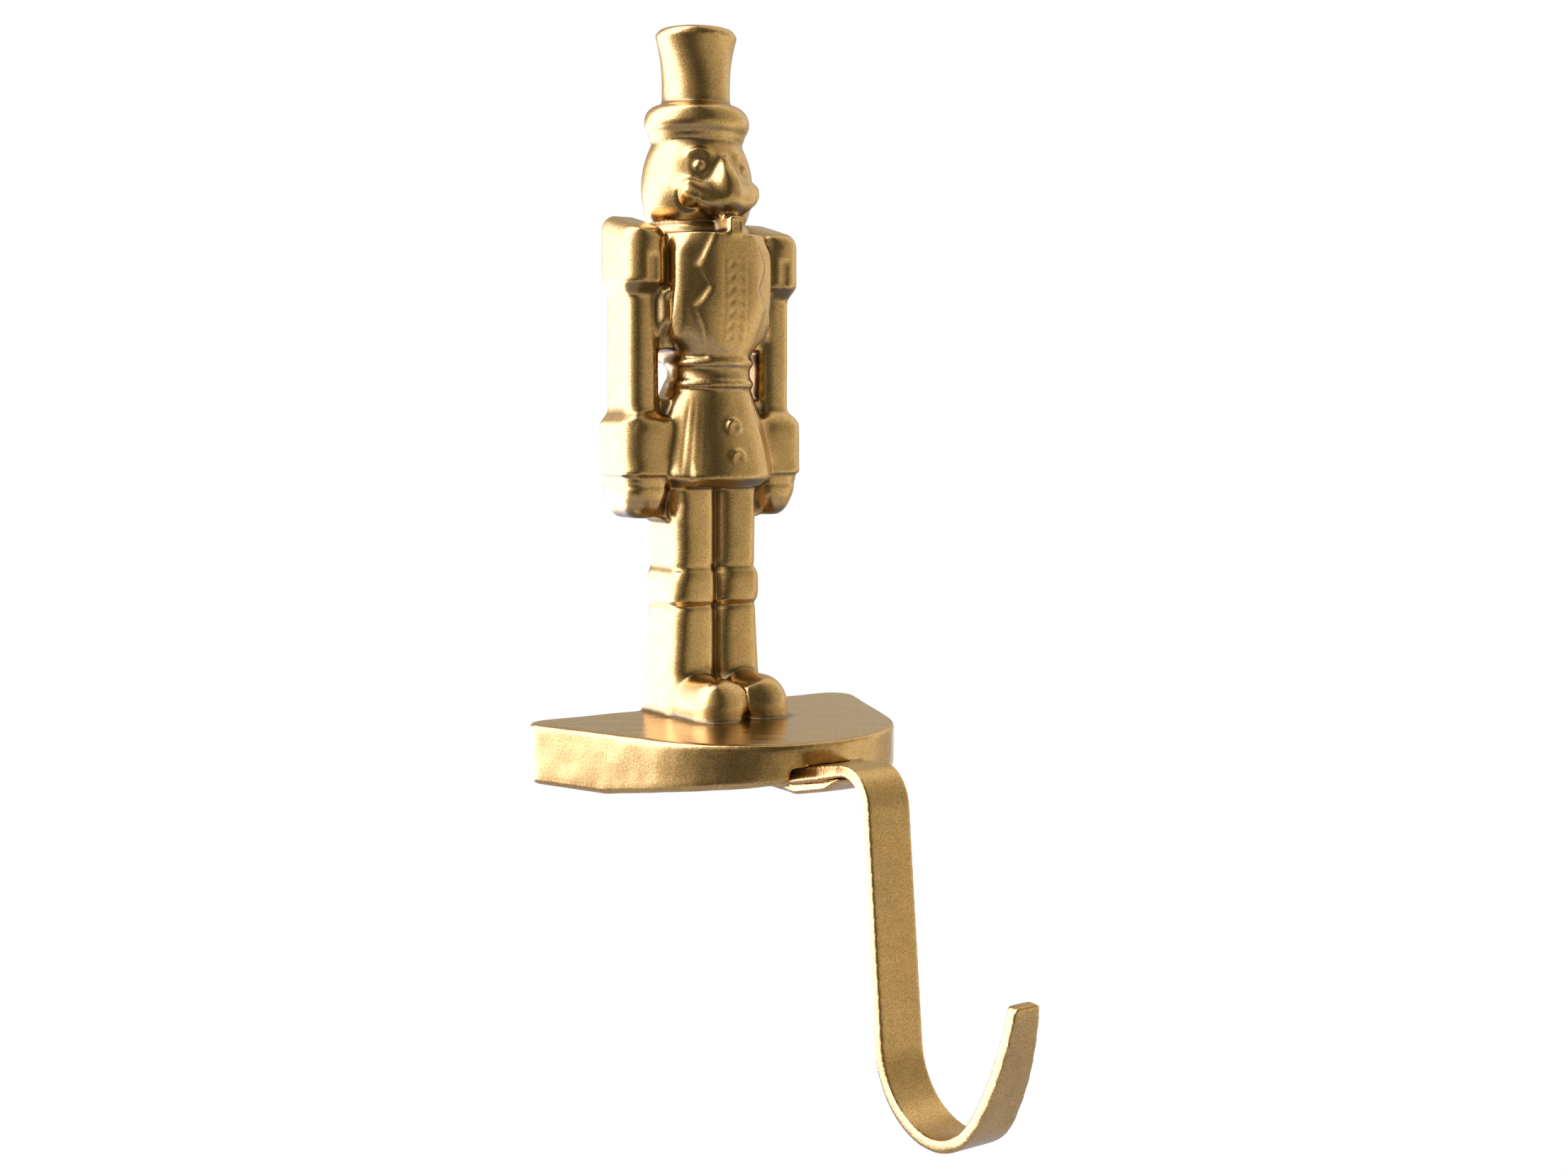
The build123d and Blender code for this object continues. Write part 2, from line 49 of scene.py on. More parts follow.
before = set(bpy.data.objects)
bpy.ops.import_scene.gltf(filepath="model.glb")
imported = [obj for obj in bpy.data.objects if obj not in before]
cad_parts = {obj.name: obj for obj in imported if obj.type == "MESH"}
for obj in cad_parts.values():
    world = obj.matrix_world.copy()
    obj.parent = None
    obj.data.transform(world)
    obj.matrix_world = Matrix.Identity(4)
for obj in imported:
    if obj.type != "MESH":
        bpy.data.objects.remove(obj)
cad_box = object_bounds()

# Camera of the photograph, solved from the straight edges of the base and the strap.
PHOTO_WIDTH = 2212
FOCAL_PIXELS = 2642.7
SENSOR_WIDTH = 36.0
CAMERA_PLACE = Vector((-225.14, -372.79, 82.21)) * MM
YAW = math.radians(33.75)
PITCH = math.radians(-5.31)
ROLL = math.radians(0.17)

# Meshes: voxel sizes, triangle counts, and rounds of softening by region.
WELD_DISTANCE = 0.002 * MM
CASTING_VOXEL = 0.42 * MM
STRAP_VOXEL = 0.32 * MM
CASTING_TRIANGLES = 190000
STRAP_TRIANGLES = 60000
CASTING_SOFTENING = 6
FACE_SOFTENING = 9
MOUSTACHE_SOFTENING = 30
SKIRT_SOFTENING = 60
STRAP_SOFTENING = 6
CREVICE_SOFTENING = 26

# Levels of the figure above the shelf, in millimetres, as the solids have them.
BASE_TOP = 13.6
KNEE_FOOT = 39.1
KNEE_TOP = 46.5
HAND_BOTTOM = 58.6
HEM = 67.8
CUFF_BOTTOM = 68.4
CUFF_TOP = 80.2
WAIST = 88.2
GAP_TOP = 96.6
SHOULDER = 122.4
CHIN = 126.4
BROW_LINE = 143.0

# Strap's tail in the solids: the base's reach, the tail's height there in millimetres, and its slope.
BASE_REACH = 54.2
TAIL_HEIGHT = 7.1
TAIL_SLOPE = math.tan(math.radians(12.3))
TAIL_THICKENING = 0.22
TAIL_WIDENING = 0.10

# Tooled lines of the casting: heights, depths and widths in millimetres.
KNEE_LIP = 0.12
KNEE_GROOVE = 0.22
KNEE_LINE_WIDTH = 0.6
FINGER_CREASES = ((66.0, 0.16, 0.7), (62.0, 0.08, 1.0))
PLEATS = ((26.0, 0.01), (34.0, 0.015), (42.0, 0.03), (50.0, 0.07), (58.0, 0.08))
PLEAT_DEGREES = 2.0
SEAM_SIDE = 3.1
SEAM_DEPTH = 0.10
BRAID_STEP = 2.7
BRAID_SLANT = 0.75
BRAID_DEPTH = 0.17
BRAID_SIDE = 1.25
BEARD_PANEL = 0.38

# Eye and moustache curl: distance to the side, ahead and up, in millimetres.
EYE_PLACE = (6.0, 10.5, 137.2)
EYE_RIM = 0.05
EYE_GROOVE = 0.10
CURL_PLACE = (8.1, 9.8, 130.3)
CURL_GROOVE = 0.30
CURL_RADIUS = 2.9
CURL_TOP = 131.5

# Skin of a sand mould: size and height of its lumps, in millimetres, with their seeds.
STREAKS = (2.6, 0.06, 9)
STREAK_STRETCH = 0.18
WALL_FLATS = (8.0, 0.10, 5)
WALL_PITS = (3.5, 0.05, 6)
WALL_DRAW = 0.08
CASTING_DENTS = (6.0, 0.045, 1)
CASTING_GRAIN = (2.2, 0.008, 2)
CASTING_DRAW = 0.04
STRAP_DENTS = (7.0, 0.03, 3)
STRAP_GRAIN = (1.6, 0.004, 4)
BACK_MARGIN = 0.6 * MM

# Pushes that bring the casting's forms together, in millimetres.
FLANK_LIFT = 3.0
FLANK_LIFT_ABOVE = 2.2
CHEST_SWELL = 1.5
BOOT_PRESS = 0.8
VALLEY_HALF_WIDTH = 3.4
VALLEY_FILL = 3.4
VALLEY_RISE = 1.0
SLEEVE_ROUNDING = 0.5
SLEEVE_PULL = 0.3
CUFF_ROUNDING = 0.6
LEG_CROWN = 0.9

# Painted shade in crevices: depth in millimetres where one starts, and further depth until it is full.
CREVICE_START = 0.03
CREVICE_DEPTH = 0.24
# Undersides get the same painted shade from this downward lean of their normals, fully at twice it.
UNDERSIDE_SHADE = 0.35

# Gold coat: tones, scales of its two textures, gloss and depth of its grain in millimetres, with the
# brown tone, dullness and ambient occlusion reach and range of the painted shade in crevices.
COAT_DARK = (0.75, 0.490, 0.200)
COAT_LIGHT = (0.87, 0.575, 0.236)
SPECKLE_DARK = (0.72, 0.70, 0.65)
SPECKLE_LIGHT = (1.0, 1.0, 1.0)
SPECKLE_RANGE = (0.36, 0.60)
# Brown tone of the painted shade in crevices, pockets and undersides.
CREVICE_SHADE_TONE = (0.21, 0.15, 0.072, 1.0)
MOTTLE_SCALE = 260.0
FLAKE_SCALE = 2400.0
GLOSS_RANGE = (0.15, 0.23)
CREVICE_DULLNESS = 0.09
OCCLUSION_SHADE_REACH = 7.0
OCCLUSION_SHADE_RANGE = (0.58, 0.12)
CASTING_GRAIN_DEPTH = 0.03
STRAP_GRAIN_DEPTH = 0.05

# Studio around the object: light level by the azimuth seen from the object. Zero is the direction of
# the camera, and positive angles lie to the right in the photograph. The levels hold at the horizon,
# and they lean to the right above it.
STUDIO = (
    (-180, 0.48),
    (-154, 0.62),
    (-144, 1),
    (-134, 1.9),
    (-124, 2.8),
    (-112, 3.1),
    (-78, 3.2),
    (-69, 3.15),
    (-63, 2.85),
    (-57, 2.1),
    (-52, 1.35),
    (-46, 0.9),
    (-40, 0.64),
    (-34, 0.48),
    (-26, 0.35),
    (-15, 0.2),
    (-4, 0.12),
    (7, 0.085),
    (17, 0.09),
    (27, 0.13),
    (37, 0.21),
    (47, 0.33),
    (57, 0.42),
    (67, 0.49),
    (80, 0.55),
    (92, 0.63),
    (104, 0.8),
    (120, 0.92),
    (136, 0.8),
    (152, 0.56),
    (180, 0.48),
)
STUDIO_PEAK = 3.2
LEAN_ABOVE = 1.2
LEAN_BELOW = 2.2
LEAN_LIMIT = math.radians(12.0)

# Tint of the light: warm where it is dim, and cool above a level, fully so a span further up.
WARM_DARK = (1.0, 0.93, 0.76)
COOL_BRIGHT = (1.0, 1.05, 1.40)
COOL_FROM = 0.5
COOL_SPAN = 2.0

# Patch of the white backdrop that metal shows: the azimuth where it starts, and its upper edge.
PATCH_EDGE = math.radians(152.0)
PATCH_TOP = math.radians(3.0)
PATCH_SOFT = math.radians(12.0)

# Floor: its place and size, its own grey, and the glow that the camera sees.
FLOOR_LEVEL = -0.42
FLOOR_RADIUS = 0.85
FLOOR_SEGMENTS = 96
FLOOR_GREY = (0.42, 0.42, 0.42, 1.0)
FLOOR_GLOW = (0.72, 0.72, 0.72, 1.0)


def place_camera():
    """Camera at the photograph's viewpoint, with its lens."""
    level = math.cos(PITCH)
    forward = Vector((math.sin(YAW) * level, math.cos(YAW) * level, math.sin(PITCH)))
    level_right = Vector((math.cos(YAW), -math.sin(YAW), 0.0))
    level_up = level_right.cross(forward)
    right = level_right * math.cos(ROLL) + level_up * math.sin(ROLL)
    up = level_up * math.cos(ROLL) - level_right * math.sin(ROLL)
    data = bpy.data.cameras.new("photo_camera")
    data.sensor_width = SENSOR_WIDTH
    data.lens = FOCAL_PIXELS / PHOTO_WIDTH * SENSOR_WIDTH
    data.clip_start = 0.01
    camera = bpy.data.objects.new("photo_camera", data)
    bpy.context.scene.collection.objects.link(camera)
    axes = Matrix((right, up, -forward)).transposed().to_4x4()
    camera.matrix_world = Matrix.Translation(CAMERA_PLACE) @ axes
    bpy.context.scene.camera = camera


def applied(piece):
    """Replaces the piece's mesh by one with its modifiers applied."""
    graph = bpy.context.evaluated_depsgraph_get()
    mesh = bpy.data.meshes.new_from_object(piece.evaluated_get(graph))
    piece.modifiers.clear()
    piece.data = mesh


def copied_node(node, name):
    """A new object with a welded copy of a CAD node's mesh."""
    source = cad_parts[node]
    work = bmesh.new()
    work.from_mesh(source.data)
    bmesh.ops.remove_doubles(work, verts=work.verts, dist=WELD_DISTANCE)
    mesh = bpy.data.meshes.new(name)
    work.to_mesh(mesh)
    work.free()
    piece = bpy.data.objects.new(name, mesh)
    bpy.context.scene.collection.objects.link(piece)
    return piece


def remeshed(piece, voxel):
    """Gives the piece an even mesh of its outer surface."""
    modifier = piece.modifiers.new("skin", "REMESH")
    modifier.mode = "VOXEL"
    modifier.voxel_size = voxel
    modifier.adaptivity = 0.0
    applied(piece)


def points_of(mesh):
    """Vertex places and normals of a mesh."""
    count = len(mesh.vertices)
    places = np.empty(count * 3)
    normals = np.empty(count * 3)
    mesh.vertices.foreach_get("co", places)
    mesh.vertices.foreach_get("normal", normals)
    return places.reshape(-1, 3), normals.reshape(-1, 3)


def moved_points(mesh, places):
    """Puts the vertices of a mesh at new places."""
    mesh.vertices.foreach_set("co", places.ravel())
    mesh.update()


def edge_pairs(mesh):
    """Vertex pairs of a mesh's edges."""
    pairs = np.empty(len(mesh.edges) * 2, dtype=np.int64)
    mesh.edges.foreach_get("vertices", pairs)
    return pairs.reshape(-1, 2)


def smoothed(values, pairs, rounds, share=0.5):
    """Rows of values averaged with their neighbours along the edges, a number of times."""
    count = len(values)
    first, second = pairs[:, 0], pairs[:, 1]
    degree = np.bincount(pairs.ravel(), minlength=count)
    values = values.copy()
    for _ in range(rounds):
        for column in values.T:
            total = np.bincount(first, weights=column[second], minlength=count)
            total += np.bincount(second, weights=column[first], minlength=count)
            column += share * (total / degree - column)
    return values


def lumps(places, size, seed):
    """Smooth noise from about -1 to 1 at each place, with lumps of a given size."""
    shift = Vector((seed * 7.31, seed * 3.17, seed * 5.73))
    return np.array([noise.noise(Vector(place) / size + shift) for place in places])


def relief(places, kind):
    """Height in millimetres of one kind of lumps, given by their size, height and seed."""
    size, height, seed = kind
    return height * lumps(places, size * MM, seed)


def rise(values, start, width):
    """0 up to a start, rising to 1 over a width."""
    return np.clip((values - start) / width, 0.0, 1.0)


def fall(values, end, width):
    """1, falling over a width to 0 at an end."""
    return np.clip((end - values) / width, 0.0, 1.0)


def window(values, low, high, soft):
    """1 between two limits, falling to 0 over a soft margin inside them."""
    return rise(values, low, soft) * fall(values, high, soft)


def line(offset, width):
    """Height of a rounded line across its own width, from 1 on it to 0 beside it."""
    return np.exp(-((offset / width) ** 2))


def axes_of(places):
    """Distance to the right, to either side, ahead and up of each place, in millimetres."""
    x, y, z = (places / MM).T
    return x, np.abs(x), -y, z


def away_from(place, side, ahead, z):
    """Distance from a place that is given to the side, ahead and up, in millimetres."""
    return np.sqrt((side - place[0]) ** 2 + (ahead - place[1]) ** 2 + (z - place[2]) ** 2)


def tooling(places):
    """Height in millimetres, out from the skin, of the lines and hollows worked into the casting."""
    x, side, ahead, z = axes_of(places)
    height = np.zeros(len(places))

    # Knee cuffs: a lip at each edge and a groove beyond it.
    legs = window(side, -1.0, 14.5, 0.5) * window(z, 35.0, 51.0, 1.0)
    lips = line(z - KNEE_TOP + 0.5, KNEE_LINE_WIDTH) + line(z - KNEE_FOOT - 0.5, KNEE_LINE_WIDTH)
    grooves = line(z - KNEE_TOP - 0.7, KNEE_LINE_WIDTH) + line(z - KNEE_FOOT + 0.7, KNEE_LINE_WIDTH)
    height += legs * KNEE_LIP * lips
    height -= legs * KNEE_GROOVE * grooves

    # Closed fingers: creases across each hand.
    hands = window(side, 8.5, 26.0, 0.5) * window(z, HAND_BOTTOM - 2.0, CUFF_BOTTOM - 0.3, 0.4)
    height -= hands * sum(deep * line(z - level, wide) for level, deep, wide in FINGER_CREASES)

    # Coat skirt: pleats that run from the waist to the hem at each side of the front.
    turn = np.degrees(np.arctan2(side, ahead - 5.0))
    skirt = window(z, HEM - 0.5, WAIST - 2.0, 4.0) * window(ahead, 2.0, 25.0, 2.0)
    for pleat, deep in PLEATS:
        height -= skirt * deep * line(turn - pleat, PLEAT_DEGREES)

    # Chest: a braid of slanted dents between two faint seams.
    chest = window(z, 97.5, 117.5, 1.5) * window(ahead, 13.0, 25.0, 1.0)
    height -= chest * SEAM_DEPTH * line(side - SEAM_SIDE, 0.4)
    slant = z + BRAID_SLANT * side
    braid = np.abs((slant / BRAID_STEP) % 1.0 - 0.5) * BRAID_STEP
    height -= chest * BRAID_DEPTH * line(BRAID_STEP / 2 - braid, 0.62) * line(side - BRAID_SIDE, 0.75)

    # Eyes: a raised rim about each eye. Moustache: a groove around the curl at each end.
    eye = away_from(EYE_PLACE, side, ahead, z)
    height += EYE_RIM * line(eye - 2.5, 0.6) - EYE_GROOVE * line(eye - 1.6, 0.6)
    curl = away_from(CURL_PLACE, side, ahead, z)
    around = np.clip((CURL_TOP - z) / 2.0 + (side - CURL_PLACE[0]) / 2.0, 0.0, 1.0)
    height -= CURL_GROOVE * line(curl - CURL_RADIUS, 0.5) * around

    # Beard: a sunk panel on the front of its block.
    beard = window(side, -1.0, 1.35, 0.35) * window(z, CHIN - 3.9, CHIN - 1.1, 0.35)
    height -= beard * window(ahead, 15.5, 20.0, 0.6) * BEARD_PANEL

    # Base: streaks across its top, and the pits and flats of a sand mould on its sides.
    along, across = 0.83 * x + 0.56 * ahead, 0.56 * x - 0.83 * ahead
    stretched = np.stack((STREAK_STRETCH * along, across, z), axis=1) * MM
    height += window(z, BASE_TOP - 0.4, BASE_TOP + 0.4, 0.15) * relief(stretched, STREAKS)
    wall = window(z, 0.0, BASE_TOP - 0.4, 0.8)
    height += wall * (relief(places, WALL_FLATS) + relief(places, WALL_PITS) - WALL_DRAW)
    return height


def filled(places):
    """Places pushed together where the real casting has no room between its forms."""
    x, side, ahead, z = axes_of(places)
    outward = np.sign(x)
    out = places.copy()

    # The flanks of the chest swell between the arms, above the gap beside the waist.
    lift = FLANK_LIFT + FLANK_LIFT_ABOVE * rise(z, 108.0, 3.0)
    flank = window(side, 10.5, 15.4, 1.2) * window(z, GAP_TOP + 2.0, SHOULDER - 2.0, 4.0)
    sunk = fall(ahead, 8.2, 2.0) * window(ahead, 4.5, 9.0, 0.8)
    out[:, 1] -= flank * sunk * lift * MM
    swell = window(side, 7.5, 13.2, 2.0) * window(z, WAIST + 8.0, SHOULDER - 1.0, 3.0)
    swell = swell * window(ahead, 5.5, 15.0, 2.5)
    out[:, 0] += outward * swell * CHEST_SWELL * MM

    # The boots press together along the middle.
    boots = window(z, BASE_TOP + 0.3, BASE_TOP + 11.0, 1.0) * rise(ahead, 11.0, 2.0)
    press = boots * fall(side, 5.5, 4.5)
    out[:, 0] -= outward * press * np.clip(side - 0.15, 0.0, BOOT_PRESS) * MM
    valley = boots * np.clip(1.0 - side / VALLEY_HALF_WIDTH, 0.0, 1.0) ** 1.5
    out[:, 1] -= valley * VALLEY_FILL * fall(ahead, 23.0, 6.0) * MM
    out[:, 2] += valley * VALLEY_RISE * MM

    # The arms are rounder on the side towards the body.
    sleeves = rise(side, 12.7, 0.6) * window(z, CUFF_TOP - 1.0, SHOULDER + 3.0, 2.0)
    inner = sleeves * fall(side, 18.6, 5.3) ** 2
    out[:, 1] += inner * SLEEVE_ROUNDING * rise(ahead, 1.0, 4.0) * MM
    out[:, 0] -= outward * inner * SLEEVE_PULL * MM
    cuffs = window(side, 9.8, 24.0, 0.5) * window(z, HAND_BOTTOM, CUFF_TOP + 1.0, 1.5)
    inner = cuffs * fall(side, 17.5, 7.2) ** 2
    out[:, 1] += inner * CUFF_ROUNDING * rise(ahead, 3.0, 4.0) * MM

    # The legs are crowned across their fronts.
    legs = window(side, -1.0, 13.5, 1.0)
    crown = ((side - 6.4) / 5.8) ** 2 * legs * window(z, BASE_TOP + 6.0, HEM + 1.0, 3.0)
    out[:, 1] += crown * LEG_CROWN * rise(ahead, 3.0, 5.0) * fall(ahead, 11.5, 1.0) * MM
    return out


def crevice_shade(places, normals, pairs):
    """Painted shade level: from 0 on open skin to 1 deep in a crevice, by how far the skin lies under its
    own average.
    """
    wide = smoothed(places, pairs, CREVICE_SOFTENING)
    depth = ((wide - places) * normals).sum(axis=1) / MM
    level = rise(depth, CREVICE_START, CREVICE_DEPTH)
    return smoothed(level[:, None], pairs, 3)[:, 0]


def decimated(piece, triangles):
    """Thins the piece to a number of triangles, most of them left where it curves."""
    mesh = piece.data
    mesh.calc_loop_triangles()
    share = triangles / len(mesh.loop_triangles)
    if share < 1.0:
        modifier = piece.modifiers.new("thin", "DECIMATE")
        modifier.ratio = share
        applied(piece)


def carry_painted_shade(piece, places, level):
    """Stores each vertex's painted shade level, from the nearest place of the full mesh, as an attribute.
    """
    tree = kdtree.KDTree(len(places))
    for index, place in enumerate(places):
        tree.insert(place, index)
    tree.balance()
    mesh = piece.data
    values = [float(level[tree.find(vertex.co)[1]]) for vertex in mesh.vertices]
    attribute = mesh.attributes.new("painted_shade", "FLOAT", "POINT")
    attribute.data.foreach_set("value", values)


def finish_form(piece, node, material):
    """Smooth shading, material, and the piece's place in the frame."""
    mesh = piece.data
    mesh.shade_smooth()
    mesh.materials.clear()
    mesh.materials.append(material)
    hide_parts(node)
    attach(piece, "root")


def softened_regions(places, pairs):
    """Places of the casting with its face, hands, knees, toes and skirt softened further."""
    _, side, ahead, z = axes_of(places)
    in_front = rise(ahead, 3.0, 3.0)
    face = window(z, CHIN - 1.0, BROW_LINE + 1.0, 1.5) * in_front
    hands = window(side, 9.0, 26.0, 1.0) * window(z, HAND_BOTTOM - 3.0, CUFF_BOTTOM - 0.5, 1.0)
    knees = window(z, KNEE_FOOT - 4.0, KNEE_TOP + 4.0, 2.0)
    toes = window(z, BASE_TOP + 1.5, BASE_TOP + 12.0, 1.0) * rise(ahead, 10.5, 2.0)
    moustache = window(z, CHIN - 1.0, CHIN + 11.0, 2.0) * in_front
    skirt = window(z, HEM + 1.5, WAIST - 1.0, 2.5) * rise(ahead, 7.0, 2.0) * rise(side, 4.0, 3.0)
    carved = np.maximum.reduce([face, hands, knees, toes])
    for region, rounds in (
        (moustache, MOUSTACHE_SOFTENING),
        (carved, FACE_SOFTENING),
        (skirt, SKIRT_SOFTENING),
    ):
        places = places + (smoothed(places, pairs, rounds) - places) * region[:, None]
    return places


def cast_body(material):
    """Nutcracker and base as one casting with soft edges and hand-worked dents."""
    piece = copied_node("nutcracker_casting", "cast_nutcracker")
    remeshed(piece, CASTING_VOXEL)
    mesh = piece.data
    places, _ = points_of(mesh)
    pairs = edge_pairs(mesh)
    places = smoothed(filled(places), pairs, CASTING_SOFTENING)
    moved_points(mesh, softened_regions(places, pairs))
    places, normals = points_of(mesh)
    back = places[:, 1] > cad_box[1][1] - BACK_MARGIN
    worked = tooling(places)
    worked += relief(places, CASTING_DENTS) + relief(places, CASTING_GRAIN) - CASTING_DRAW
    worked[back] = 0.0
    moved_points(mesh, places + normals * (worked * MM)[:, None])
    places, normals = points_of(mesh)
    # Painted shade: skin facing down above the base and skin deep in crevices gets a shade level, none on
    # the flat back.
    above_base = places[:, 2] > (BASE_TOP + 1.0) * MM
    under = rise(-normals[:, 2], UNDERSIDE_SHADE, UNDERSIDE_SHADE) * above_base
    level = np.maximum(crevice_shade(places, normals, pairs), under)
    level[back] = 0.0
    decimated(piece, CASTING_TRIANGLES)
    carry_painted_shade(piece, places, level)
    finish_form(piece, "nutcracker_casting", material)


def bent_strap(material):
    """Flat bar of the hook with rounded edges, its tail a little fuller where the notch holds it."""
    piece = copied_node("hook_strap", "strap_hook")
    remeshed(piece, STRAP_VOXEL)
    mesh = piece.data
    places, _ = points_of(mesh)
    pairs = edge_pairs(mesh)
    places = smoothed(places, pairs, STRAP_SOFTENING)
    _, _, ahead, _ = axes_of(places)
    middle = (TAIL_HEIGHT + (ahead - BASE_REACH) * TAIL_SLOPE) * MM
    root = window(ahead, 40.0, 63.0, 6.0)
    places[:, 2] += (places[:, 2] - middle) * root * TAIL_THICKENING
    places[:, 0] += places[:, 0] * root * TAIL_WIDENING
    moved_points(mesh, places)
    places, normals = points_of(mesh)
    worked = relief(places, STRAP_DENTS) + relief(places, STRAP_GRAIN)
    moved_points(mesh, places + normals * (worked * MM)[:, None])
    places, normals = points_of(mesh)
    # Painted shade level of the strap's crevices.
    level = crevice_shade(places, normals, pairs)
    decimated(piece, STRAP_TRIANGLES)
    carry_painted_shade(piece, places, level)
    finish_form(piece, "hook_strap", material)


def new_node(tree, kind, inputs=None, **settings):
    """A shader node with its settings and unlinked inputs filled in."""
    node = tree.nodes.new(kind)
    for name, value in settings.items():
        setattr(node, name, value)
    for name, value in (inputs or {}).items():
        node.inputs[name].default_value = value
    return node


def two_tone(tree, source, low, high, start=0.3, end=0.7):
    """Colour between two tones by a value."""
    ramp = new_node(tree, "ShaderNodeValToRGB")
    ramp.color_ramp.elements[0].position = start
    ramp.color_ramp.elements[0].color = (*low, 1.0)
    ramp.color_ramp.elements[1].position = end
    ramp.color_ramp.elements[1].color = (*high, 1.0)
    tree.links.new(source, ramp.inputs["Fac"])
    return ramp.outputs["Color"]


def satin_gold(name, grain_depth):
    """Sprayed satin gold: a metal with flake grain, soft mottling and uneven gloss, darkened to brown as
    painted shade in crevices, sheltered pockets and undersides.
    """
    material = bpy.data.materials.new(name)
    material.use_nodes = True
    tree = material.node_tree
    links = tree.links
    shader = tree.nodes["Principled BSDF"]
    shader.inputs["Metallic"].default_value = 1.0
    place = new_node(tree, "ShaderNodeTexCoord").outputs["Object"]
    mottle_inputs = {"Scale": MOTTLE_SCALE, "Detail": 4.0, "Roughness": 0.6}
    flake_inputs = {"Scale": FLAKE_SCALE, "Detail": 3.0, "Roughness": 0.65}
    mottle = new_node(tree, "ShaderNodeTexNoise", mottle_inputs)
    flake = new_node(tree, "ShaderNodeTexNoise", flake_inputs)
    for texture in (mottle, flake):
        links.new(place, texture.inputs["Vector"])
    # Painted shade: the stored crevice and underside level and the pockets found by ambient occlusion,
    # whichever is deeper.
    crease = new_node(tree, "ShaderNodeAttribute", attribute_name="painted_shade").outputs["Fac"]
    shelter = new_node(tree, "ShaderNodeAmbientOcclusion", {"Distance": OCCLUSION_SHADE_REACH * MM}, samples=8)
    pocket_inputs = dict(zip(("From Min", "From Max"), OCCLUSION_SHADE_RANGE))
    occluded_shade = new_node(tree, "ShaderNodeMapRange", pocket_inputs)
    links.new(shelter.outputs["AO"], occluded_shade.inputs["Value"])
    shade_amount = new_node(tree, "ShaderNodeMath", operation="MAXIMUM")
    links.new(crease, shade_amount.inputs[0])
    links.new(occluded_shade.outputs["Result"], shade_amount.inputs[1])
    painted_shade = shade_amount.outputs["Value"]

    coat = two_tone(tree, mottle.outputs["Fac"], COAT_DARK, COAT_LIGHT)
    speckle = two_tone(tree, flake.outputs["Fac"], SPECKLE_DARK, SPECKLE_LIGHT, *SPECKLE_RANGE)
    multiply = {"data_type": "RGBA", "blend_type": "MULTIPLY"}
    grained = new_node(tree, "ShaderNodeMix", {"Factor": 1.0}, **multiply)
    links.new(coat, grained.inputs["A"])
    links.new(speckle, grained.inputs["B"])
    # The coat darkens towards the brown painted shade tone by that level.
    tone = new_node(tree, "ShaderNodeMix", {"B": CREVICE_SHADE_TONE}, data_type="RGBA")
    links.new(painted_shade, tone.inputs["Factor"])
    links.new(grained.outputs["Result"], tone.inputs["A"])
    links.new(tone.outputs["Result"], shader.inputs["Base Color"])

    gloss_inputs = dict(zip(("To Min", "To Max"), GLOSS_RANGE))
    gloss = new_node(tree, "ShaderNodeMapRange", gloss_inputs)
    links.new(mottle.outputs["Fac"], gloss.inputs["Value"])
    dull = new_node(tree, "ShaderNodeMath", {1: CREVICE_DULLNESS}, operation="MULTIPLY_ADD")
    links.new(painted_shade, dull.inputs[0])
    links.new(gloss.outputs["Result"], dull.inputs[2])
    links.new(dull.outputs["Value"], shader.inputs["Roughness"])

    bump = new_node(tree, "ShaderNodeBump", {"Strength": 1.0, "Distance": grain_depth * MM})
    links.new(flake.outputs["Fac"], bump.inputs["Height"])
    links.new(bump.outputs["Normal"], shader.inputs["Normal"])
    return material


